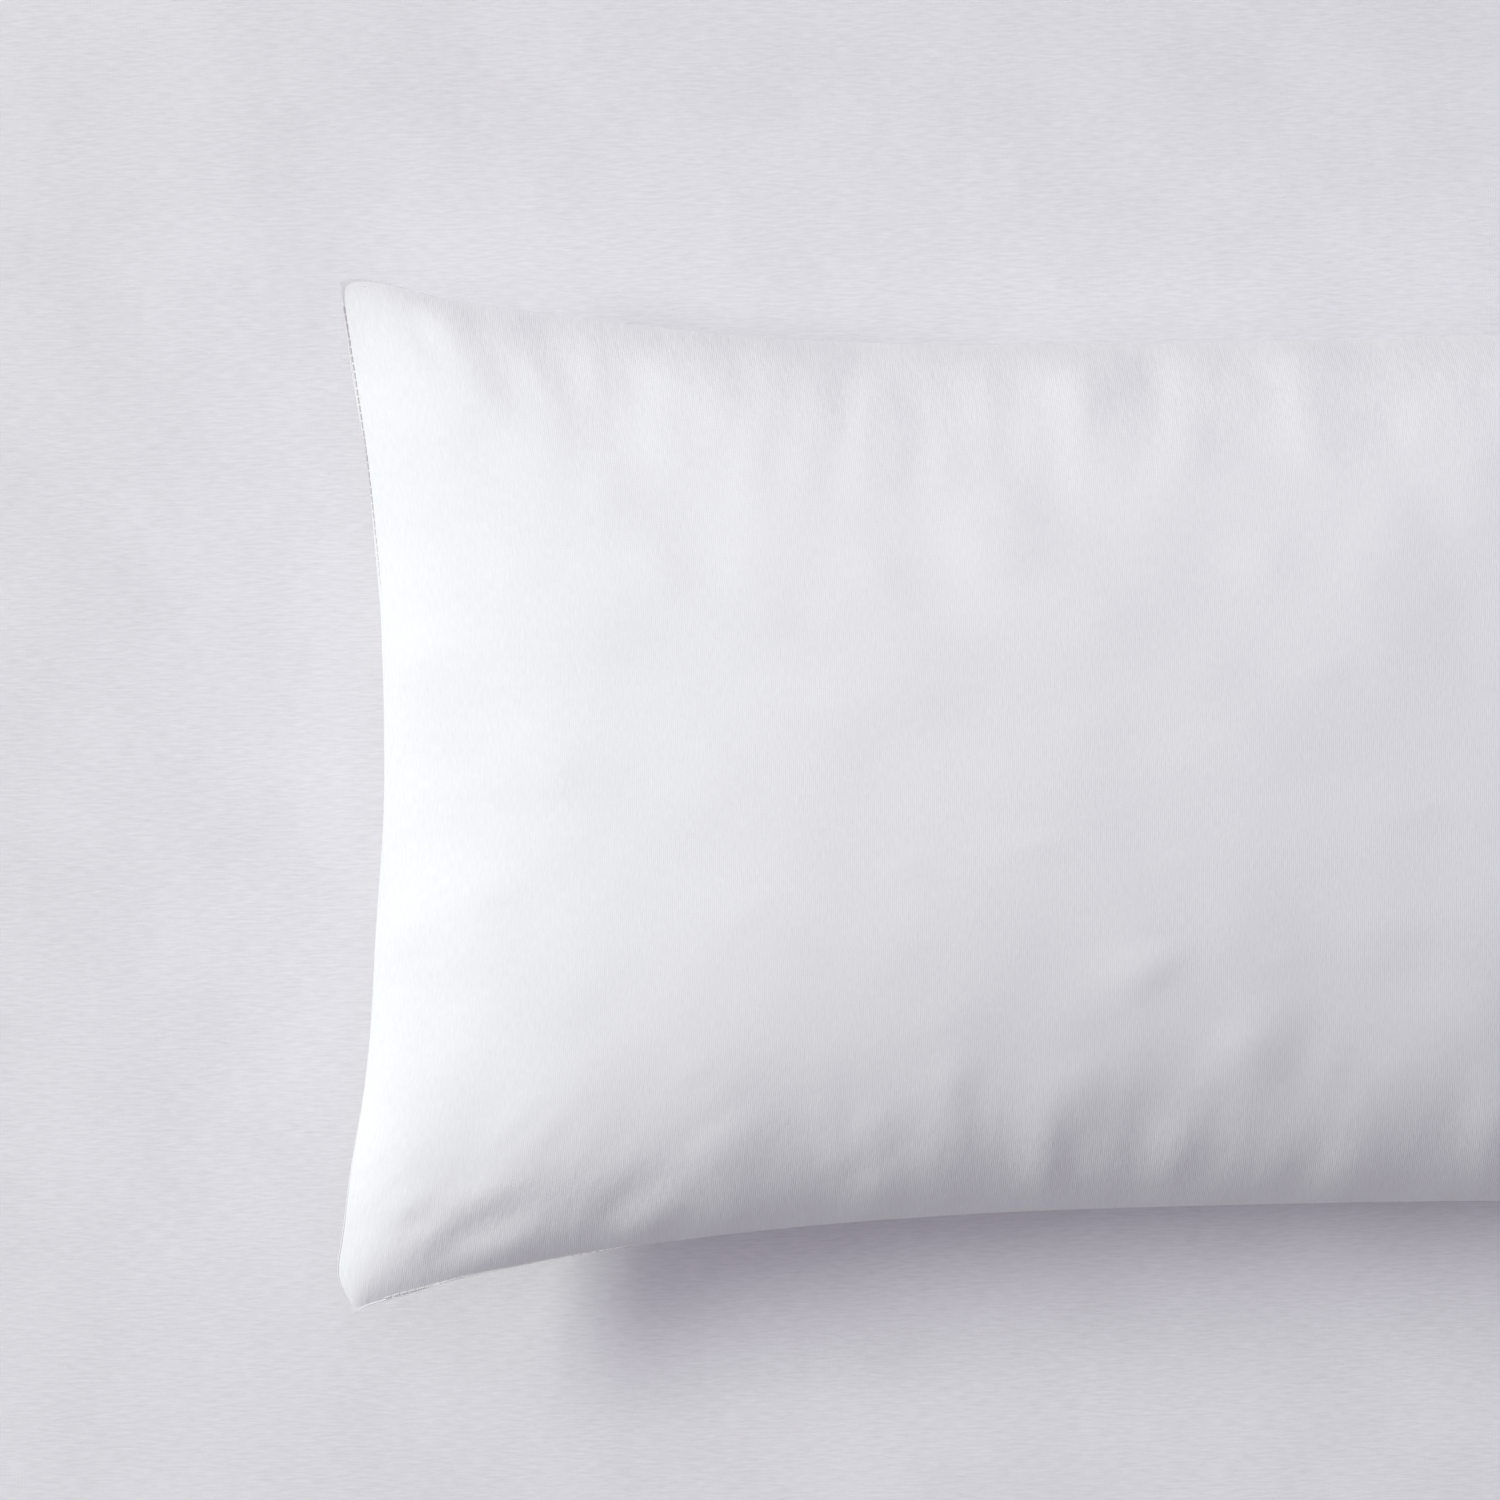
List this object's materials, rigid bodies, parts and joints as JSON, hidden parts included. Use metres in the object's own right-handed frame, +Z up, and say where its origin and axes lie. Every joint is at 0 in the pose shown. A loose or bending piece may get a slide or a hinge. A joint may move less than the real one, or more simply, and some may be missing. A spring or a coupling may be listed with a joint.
{
  "type": "bed pillow",
  "caption": "Full rectangular bed pillow lying flat, smooth white cotton shell with drawn-in sides and blunt corners, knife-edge seam and fibre fill.",
  "frame": {"origin": "middle of the pillow's length and width, on the surface it rests on", "axes": "+X along the pillow's length towards the end with the closing seam, +Y across its width, +Z up out of the bed"},
  "size_m": [0.8886, 0.498, 0.17],
  "materials": {
    "shell_cotton": "matte",
    "thread": "matte",
    "label_ribbon": "satin",
    "fibre_fill": "matte",
    "wrap_batting": "matte"
  },
  "bodies": {
    "root": {"upper_panel": "shell_cotton", "lower_panel": "shell_cotton", "front_side_seam_thread": "thread", "back_side_seam_thread": "thread", "left_end_seam_thread": "thread", "right_end_seam_thread": "thread", "front_side_overlock_thread": "thread", "back_side_overlock_thread": "thread", "left_end_overlock_thread": "thread", "right_end_overlock_thread": "thread", "closing_seam_needle_thread": "thread", "closing_seam_bobbin_thread": "thread", "care_label": "label_ribbon", "fill_core": "fibre_fill", "upper_wrap_batt": "wrap_batting", "lower_wrap_batt": "wrap_batting"}
  },
  "joints": []
}
